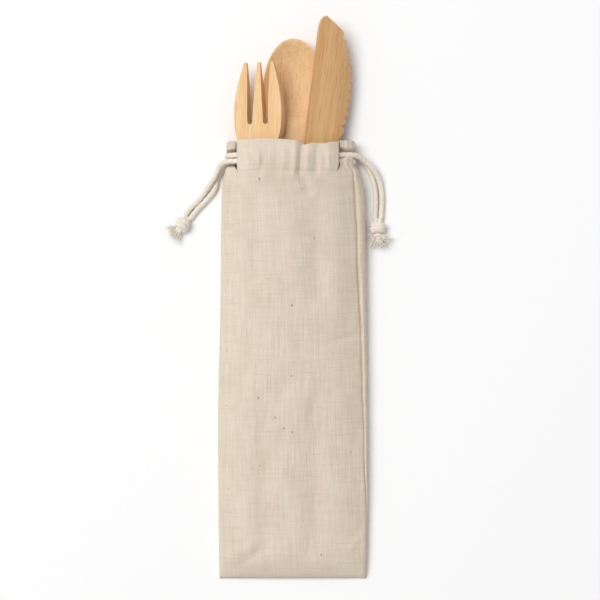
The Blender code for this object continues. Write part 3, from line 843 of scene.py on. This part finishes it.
HANDLE_EDGE = [
    (KNIFE_END_V, 0.0086),
    (KNIFE_END_V + 0.0012, 0.0106),
    (KNIFE_END_V + 0.0040, 0.0121),
    (-0.1150, 0.0126),
    (-0.0300, 0.0112),
    (-0.0180, 0.0124),
    (-0.0080, 0.0152),
    (0.0035, 0.0184),
]


def belly(v):
    return BELLY_U - BELLY_RADIUS + math.sqrt(BELLY_RADIUS**2 - (v - BELLY_V) ** 2)


def knife_edge():
    """The cutting side as (u, v) points, from the handle's end to the point."""
    ends = [KNIFE_END_V + s for s in (0.0, 0.0006, 0.0012, 0.0020, 0.0030, 0.0040)]
    handle = ends + even(-0.1280, -0.0300, 0.0060) + even(-0.0300, 0.0035, 0.0020)
    edge = [(float(through(HANDLE_EDGE, v)), v) for v in handle]
    for k in reversed(range(TEETH)):
        tip_v = FIRST_TOOTH_V - k * TOOTH_PITCH
        rise = 0.0002 if k < HOOKED_TEETH else 0.0016
        edge.append((belly(tip_v), tip_v))
        edge.append((belly(tip_v + rise) - TOOTH_DEPTH, tip_v + rise))
    edge += [(0.0136, 0.0555), (0.0136, 0.0571), (0.0130, 0.0580)]
    edge += [(0.0072, 0.0618), (0.0042, 0.0636), (0.0033, BLADE_TIP_V)]
    return edge


def make_knife(finish):
    shares = (0.0, 0.10, 0.45, 0.78)
    grid = []
    for u, v in knife_edge():
        back = float(through(SPINE, v))
        root = min(u, belly(v) - TOOTH_DEPTH - 0.0006) if v > 0.0035 else u * 0.95
        inner_points = [(back + share * (root - back), v) for share in shares]
        grid.append(inner_points + [(back + 0.96 * (root - back), v), (u, v)])

    def top(u, v):
        blade = min(max((v + 0.012) / 0.012, 0.0), 1.0)
        bevel = min(max((u - 0.0150) / 0.0080, 0.0), 1.0)
        nose = min(max((u / 0.0130 + v / BLADE_TIP_V - 1.45) / 0.50, 0.0), 1.0)
        return KNIFE_THICKNESS - blade * (0.0022 * bevel + 0.0012 * nose)

    bm = plate(grid, lambda i, j: True, top, lambda u, v: 0.0)
    place = (
        Matrix.Translation((0.0057, 0.1145, 0.0119))
        @ Matrix.Rotation(-KNIFE_TILT, 4, "Z")
        @ Matrix.Rotation(math.radians(0.85), 4, "X")
        @ Matrix.Rotation(KNIFE_ROLL, 4, "Y")
    )
    return cutlery_piece("bamboo_knife", bm, finish, place, 0.00030)


fork_tint = {
    "light": linear(240, 206, 158),
    "mid": linear(232, 192, 140),
    "warm": linear(228, 182, 126),
    "dark": linear(208, 160, 106),
    "vessel": linear(186, 132, 78),
}
spoon_tint = {
    "light": linear(238, 203, 155),
    "mid": linear(230, 190, 140),
    "warm": linear(224, 178, 122),
    "dark": linear(206, 156, 102),
    "vessel": linear(178, 122, 70),
}
knife_tint = {
    "light": linear(226, 184, 132),
    "mid": linear(216, 170, 116),
    "warm": linear(208, 158, 102),
    "dark": linear(186, 134, 80),
    "vessel": linear(164, 110, 60),
}
stands_for(make_spoon(bamboo("bamboo_spoon_finish", spoon_tint, (0.11, 0.02, 0.31))), "spoon")
stands_for(make_fork(bamboo("bamboo_fork_finish", fork_tint, (0.47, 0.13, 0.07))), "fork")
stands_for(make_knife(bamboo("bamboo_knife_finish", knife_tint, (0.83, 0.29, 0.55))), "knife")

# ---- the pouch ----------------------------------------------------------------------------
SEAM = [  # (y, x) of the side seam, which has rolled onto the front
    (END_Y, 0.0388),
    (-0.0700, 0.0380),
    (-0.0590, 0.0373),
    (-0.0384, 0.0370),
    (-0.0170, 0.0363),
    (0.0026, 0.0358),
    (0.0195, 0.0351),
    (0.0364, 0.0341),
    (0.0509, 0.0334),
    (0.0661, 0.0331),
    (0.0828, 0.0321),
    (HEM_Y, 0.0312),
    (MOUTH_Y, 0.0300),
]
# Each fold: (start x, start y, end x, end y, half width, height); a valley's height is negative.
FOLDS = [
    # the body's long soft folds
    (-0.0190, 0.0870, -0.0188, 0.0400, 0.0036, -0.0009),
    (-0.0280, 0.0860, -0.0270, 0.0100, 0.0050, 0.0006),
    (-0.0010, 0.0800, 0.0010, 0.0400, 0.0060, 0.0008),
    (0.0125, 0.0860, 0.0120, 0.0300, 0.0050, -0.0011),
    (0.0230, 0.0900, 0.0235, 0.0200, 0.0050, 0.0006),
    (-0.0240, -0.0200, -0.0235, -0.1020, 0.0050, 0.0006),
    (-0.0145, -0.0150, -0.0150, -0.1030, 0.0045, -0.0008),
    (0.0010, -0.0150, 0.0000, -0.1000, 0.0060, 0.0006),
    (0.0118, -0.0180, 0.0112, -0.1000, 0.0045, -0.0008),
    (0.0250, -0.0200, 0.0260, -0.0900, 0.0060, 0.0005),
    # sharper creases
    (0.0340, 0.0128, 0.0130, 0.0068, 0.0018, -0.0006),
    (0.0000, -0.0122, 0.0198, -0.0118, 0.0010, -0.00022),
    (0.0350, -0.0930, 0.0290, -0.1010, 0.0020, 0.0006),
    (-0.0168, -0.1000, -0.0310, -0.1110, 0.0020, -0.0006),
    (-0.0200, -0.0960, -0.0360, -0.1080, 0.0026, 0.0005),
]
# The hem's gathers run on below its stitching.
GATHERS = [
    (0.0012, 0.1136, 0.0000, 0.0940, 0.0013, 0.0010),
    (0.0048, 0.1120, 0.0034, 0.0960, 0.0013, -0.0016),
    (0.0036, 0.0975, 0.0084, 0.0850, 0.0026, -0.0013),
    (0.0076, 0.1090, 0.0070, 0.0960, 0.0013, 0.0007),
    (0.0122, 0.1110, 0.0118, 0.0960, 0.0015, -0.0014),
    (0.0138, 0.1130, 0.0166, 0.1010, 0.0012, -0.0008),
    (0.0186, 0.1130, 0.0190, 0.0970, 0.0024, 0.0007),
    (-0.0222, 0.1050, -0.0166, 0.0950, 0.0011, -0.0010),
    (-0.0150, 0.1060, -0.0163, 0.0960, 0.0012, -0.0009),
    (-0.0190, 0.1080, -0.0178, 0.1010, 0.0016, 0.0006),
    (-0.0260, 0.1060, -0.0270, 0.0930, 0.0018, -0.0006),
    (-0.0085, 0.1100, -0.0080, 0.0960, 0.0018, -0.0005),
    (-0.0040, 0.1090, -0.0045, 0.0980, 0.0016, 0.0006),
]


def folds_at(x, y, folds, fade):
    """The height that these folds add, each fading out beyond its ends."""
    total = np.zeros(np.broadcast(x, y).shape)
    for x0, y0, x1, y1, half_width, height in folds:
        length = math.hypot(x1 - x0, y1 - y0)
        ux, uy = (x1 - x0) / length, (y1 - y0) / length
        along = (x - x0) * ux + (y - y0) * uy
        across = -(x - x0) * uy + (y - y0) * ux
        inside = smooth_step(along / fade + 0.5) * smooth_step((length - along) / fade + 0.5)
        total = total + height * inside * np.exp(-((across / half_width) ** 2))
    return total


def ripple(x, y, seed, size):
    """Smooth pseudo-random height between about -1 and 1, from a few crossing waves."""
    rng = random.Random(seed)
    total = 0.0
    for _ in range(7):
        turn = rng.uniform(0.0, math.tau)
        length = size * rng.uniform(0.7, 1.6)
        phase = rng.uniform(0.0, math.tau)
        total = total + np.sin(math.tau * (x * math.cos(turn) + y * math.sin(turn)) / length + phase)
    return total / 3.5


def front_wrinkles(x, y):
    body = folds_at(x, y, FOLDS, 0.010)
    gathers = folds_at(x, y, GATHERS, 0.005)
    edge_fade = smooth_step((y - END_Y) / 0.012)
    small = 0.00022 * ripple(x, y * 0.5, 3, 0.014) + 0.00010 * ripple(x, y * 0.7, 4, 0.006)
    return (body + small) * edge_fade + gathers


ARC_STEPS = 40
FRONT_COLUMNS = 84
SEAM_COLUMNS = 8
LIP_COLUMNS = 14
BACK_COLUMNS = 52
SEAM_HALF = 0.0011


def end_rounding(y):
    """How the pouch thins towards its bottom seam."""
    t = np.clip((y - END_Y) / 0.011, 0.0, 1.0)
    return 0.30 + 0.70 * np.sqrt(1.0 - (1.0 - t) ** 2)


def body_ring(y):
    """The pouch's outer section at y: over the front from left to right, then underneath."""
    radius = float(through(SIDE_RADIUS, y))
    height = float(through(SIDE_HEIGHT, y))
    left, right = float(through(LEFT_EDGE, y)), float(through(RIGHT_EDGE, y))
    angles = np.linspace(0.0, math.pi, ARC_STEPS)
    left_x = left + radius - radius * np.sin(angles)
    left_z = height / 2 - height / 2 * np.cos(angles)
    flat_x = np.linspace(left + radius, right - radius, 300)[1:-1]
    flat_z = pouch_top(flat_x, y)
    right_x = right - radius + radius * np.sin(angles)
    right_z = height / 2 + height / 2 * np.cos(angles)
    x = np.concatenate([left_x, flat_x, right_x])
    z = np.concatenate([left_z, flat_z, right_z])
    s = np.concatenate([[0.0], np.cumsum(np.hypot(np.diff(x), np.diff(z)))])
    upper = np.arange(len(x)) > ARC_STEPS // 2
    seam_x = min(float(through(SEAM, y)), right - 0.0004)
    seam_at = np.argmin(np.where(upper & (z > height / 2), np.abs(x - seam_x), 1.0))
    seam_s = s[seam_at]
    at = np.concatenate([
        np.linspace(0.0, seam_s - SEAM_HALF, FRONT_COLUMNS, endpoint=False),
        np.linspace(seam_s - SEAM_HALF, seam_s + SEAM_HALF, SEAM_COLUMNS, endpoint=False),
        np.linspace(seam_s + SEAM_HALF, s[-1], LIP_COLUMNS),
    ])
    ring_x, ring_z = np.interp(at, s, x), np.interp(at, s, z)
    on_top = np.clip((ring_z / height - 0.5) * 2.2, 0.0, 1.0)
    ring_z = ring_z + front_wrinkles(ring_x, y) * on_top
    # The seam is a narrow groove, and the back panel rolls up beside it as a low lip.
    off = (at - seam_s) / 0.00055
    depth = 0.0014 * np.exp(-(off**2)) * on_top
    lip = 0.0006 * np.exp(-(((at - seam_s - 0.0017) / 0.0013) ** 2)) * on_top
    ring_z = ring_z - depth + lip
    scale = float(end_rounding(y))
    ring_z = ring_z * scale
    back_x = np.linspace(right - radius, left + radius, BACK_COLUMNS + 2)[1:-1]
    inside = np.sin(np.linspace(0.0, math.pi, BACK_COLUMNS + 2)[1:-1]) ** 0.5
    back_z = 0.00030 * inside * (1.0 + ripple(back_x, y * 0.5, 9, 0.020))
    back_z = np.maximum(back_z, 0.0) * scale
    ring_x = np.concatenate([ring_x, back_x])
    ring_z = np.concatenate([ring_z, back_z])
    back_s = s[-1] + (back_x[0] - back_x) + 0.0004
    marks = np.concatenate([at, back_s])
    return ring_x, ring_z, marks


def make_pouch():
    rows = list(np.linspace(END_Y, END_Y + 0.004, 6, endpoint=False))
    rows += list(np.linspace(END_Y + 0.004, 0.0880, 190, endpoint=False))
    rows += list(np.linspace(0.0880, HEM_Y, 16))
    rings = [body_ring(y) for y in rows]
    columns = len(rings[0][0])
    points, marks = [], []
    for y, (x, z, s) in zip(rows, rings):
        points += [(a, y, b) for a, b in zip(x, z)]
        marks += [(m, y, 0.0) for m in s]
    faces = []
    for i in range(len(rows) - 1):
        for j in range(columns):
            n = (j + 1) % columns
            faces.append(
                (i * columns + j, i * columns + n, (i + 1) * columns + n, (i + 1) * columns + j)
            )
    # The bottom seam closes the end: each front point meets the back one below it.
    front_count = FRONT_COLUMNS + SEAM_COLUMNS + LIP_COLUMNS
    end_x, end_z, end_s = rings[0]
    floor = len(points)
    closing = []
    for j in range(front_count):
        points.append((end_x[j], END_Y - 0.0002, end_z[j] * 0.5))
        marks.append((end_s[j], END_Y, 0.0))
        closing.append(floor + j)
    for j in range(front_count - 1):
        faces.append((closing[j], closing[j + 1], j + 1, j))
    lower = [0] + list(range(columns - 1, front_count - 1, -1))
    faces.append(tuple(lower[:1] + [closing[0]] + closing[1:] + [front_count - 1]
                       + list(range(front_count, columns))))

    # Above the stitching the front and the back part, each turned in as a hem.
    last = len(rows) - 1
    ring_x, ring_z, ring_s = rings[-1]
    top_row = [last * columns + j for j in range(columns)]
    upper = [j for j in range(front_count) if ring_z[j] > 0.6 * ring_z.max()]
    left_slit = next(j for j in range(front_count) if ring_x[j] >= FRONT_HEM_LEFT and j > 8)
    right_slit = max(j for j in range(front_count) if ring_x[j] <= FRONT_HEM_RIGHT)

    def add_panel(js, shape, row_count):
        previous = [top_row[j] for j in js]
        for k in range(1, row_count):
            current = []
            for order, j in enumerate(js):
                point, mark = shape(j, order, k)
                current.append(len(points))
                points.append(point)
                marks.append(mark)
            for a in range(len(js) - 1):
                faces.append((previous[a], previous[a + 1], current[a + 1], current[a]))
            previous = current

    front_js = list(range(left_slit, right_slit + 1))
    MOUTH_EDGE = [
        (-0.0292, 0.1134), (-0.0240, 0.1138), (-0.0120, 0.1137), (0.0000, 0.1130),
        (0.0045, 0.1116), (0.0058, 0.1107), (0.0075, 0.1112), (0.0100, 0.1117),
        (0.0170, 0.1117), (0.0190, 0.1122), (0.0236, 0.1127),
    ]
    outer_rows, fold_rows, inner_rows = 26, 6, 14

    def front_shape(j, order, k):
        share_x = order / (len(front_js) - 1)
        x0 = ring_x[j]
        x1 = FRONT_HEM_LEFT + (FRONT_HEM_RIGHT - FRONT_HEM_LEFT) * share_x
        edge_y = float(through(MOUTH_EDGE, x1))
        fold = 0.0011
        if k <= outer_rows:
            t = k / outer_rows
            y = HEM_Y + (edge_y - fold - HEM_Y) * t
            x = x0 + (x1 - x0) * smooth_step(t * 3)
            z = float(pouch_top(x, y)) + float(front_wrinkles(x, y))
            puff = 0.0004 * math.sin(math.pi * t) - 0.0011 * float(smooth_step((t - 0.6) / 0.4))
            nip = -0.0004 * math.exp(-((t / 0.05) ** 2))
            return (x, y, z + puff + nip), (ring_s[j], y, 0.0)
        base_y = edge_y - fold
        top = float(pouch_top(x1, base_y)) + float(front_wrinkles(x1, base_y)) - 0.0011
        if k <= outer_rows + fold_rows:
            angle = math.pi * (k - outer_rows) / fold_rows
            y = base_y + fold * math.sin(angle)
            z = top - fold * (1 - math.cos(angle))
            return (x1, y, z), (ring_s[j], y, 0.0)
        t = (k - outer_rows - fold_rows) / (inner_rows - 1)
        y = base_y + (HEM_Y + 0.0012 - base_y) * t
        low = float(pouch_top(x1, y)) - FRONT_HEM + CLOTH
        z = (top - 2 * fold) * (1 - smooth_step(t * 2)) + low * smooth_step(t * 2)
        return (x1, y, z), (ring_s[j], 2 * edge_y - y, 0.0)

    add_panel(front_js, front_shape, outer_rows + fold_rows + inner_rows)

    # The back's hem, from the right slit round underneath to the left slit.
    back_js = list(range(right_slit, columns)) + list(range(0, left_slit + 1))
    right_part = front_count - right_slit
    left_part = left_slit + 1
    back_rows = 24

    def strip_top(x, y):
        """The cloth beside the right slit: it covers one cord's turn, and the other cord
        comes out over it."""
        high = float(through(
            [(0.0230, 0.0160), (0.0280, 0.0152), (0.0306, 0.0122), (0.0322, 0.0070)], x))
        low = float(through(
            [(0.0230, 0.0118), (0.0270, 0.0113), (0.0306, 0.0090), (0.0322, 0.0060)], x))
        width = float(through([(0.0236, 0.0030), (0.0270, 0.0020), (0.0320, 0.0017)], x))
        gap = math.exp(-(abs((y - 0.1068) / width) ** 4))
        pucker = 0.0004 * math.sin(x * math.tau / 0.0030 + 0.5) * (1 - gap)
        drop = 0.0020 * float(smooth_step((y - 0.1090) / 0.004))
        return high + (low - high) * gap + pucker - drop

    def back_shape(j, order, k):
        t = k / back_rows
        edge_y = 0.1134
        y = HEM_Y + (edge_y - HEM_Y) * min(t, 1.0)
        settle = float(smooth_step(t * 4))
        right = float(through(RIGHT_EDGE, y)) - 0.0006
        left = float(through(LEFT_EDGE, y))
        if order < right_part:
            share = order / (right_part - 1)
            ring = share * 1.0
            if ring < 0.62:
                x1 = FRONT_HEM_RIGHT + 0.0004 + (right - 0.0016 - FRONT_HEM_RIGHT) * ring / 0.62
                z1 = strip_top(x1, y)
            else:
                turn = (ring - 0.62) / 0.38 * math.pi / 2
                edge_z = strip_top(right - 0.0012, y)
                x1 = right - 0.0012 + 0.0012 * math.sin(2 * turn)
                z1 = edge_z * math.cos(turn)
        elif order >= len(back_js) - left_part:
            share = (order - (len(back_js) - left_part)) / (left_part - 1)
            open_here = smooth_step((y - 0.1000) / 0.0014) * smooth_step((0.1092 - y) / 0.0012)
            tall = 0.0088 * (1 - open_here) + 0.0007
            if y < 0.1012:
                tall = tall + 0.0060 * float(smooth_step((0.1012 - y) / 0.0028))
            x1 = left + 0.0010 * math.sin(share * math.pi) + 0.0052 * share**2
            x1 = x1 - 0.0008 * math.sin(share * math.pi)
            z1 = tall * math.sin(share * math.pi / 2)
        else:
            x1 = ring_x[j]
            z1 = ring_z[j]
        x = ring_x[j] + (x1 - ring_x[j]) * settle
        z = ring_z[j] + (z1 - ring_z[j]) * settle
        return (x, y, z), (ring_s[j], y, 0.0)

    add_panel(back_js, back_shape, back_rows + 1)
    piece = make_piece("pouch_cloth", points, faces, cloth_finish, marks)
    thick = piece.modifiers.new("Cloth", "SOLIDIFY")
    thick.thickness = CLOTH
    thick.offset = -1.0
    return piece


pouch = make_pouch()
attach(pouch, "root")
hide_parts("pouch")

# ---- floor, world and light ---------------------------------------------------------------
floor_nodes = Nodes("floor_finish")
floor_nodes.shader.inputs["Base Color"].default_value = (0.96, 0.96, 0.96, 1.0)
floor_nodes.shader.inputs["Roughness"].default_value = 0.95
floor_nodes.shader.inputs["Specular IOR Level"].default_value = 0.1
HALF_FLOOR = 3.0
corners = [(-1, -1), (1, -1), (1, 1), (-1, 1)]
floor = make_piece(
    "floor",
    [(a * HALF_FLOOR, b * HALF_FLOOR, 0.0) for a, b in corners],
    [(0, 1, 2, 3)],
    floor_nodes.material,
)

world = bpy.data.worlds.new("studio")
world.use_nodes = True
world.node_tree.nodes["Background"].inputs["Color"].default_value = (1.0, 1.0, 1.0, 1.0)
world.node_tree.nodes["Background"].inputs["Strength"].default_value = 0.47
bpy.context.scene.world = world


def area_light(name, place, target, size, power):
    data = bpy.data.lights.new(name, "AREA")
    data.shape = "DISK"
    data.size = size
    data.energy = power
    light = bpy.data.objects.new(name, data)
    light.location = place
    aim = Vector(target) - Vector(place)
    light.rotation_euler = aim.to_track_quat("-Z", "Y").to_euler()
    bpy.context.scene.collection.objects.link(light)


area_light("key", (-1.3, 0.83, 2.7), (0.0, 0.03, 0.0), 2.2, 68.0)
bpy.context.scene.view_settings.view_transform = "Standard"
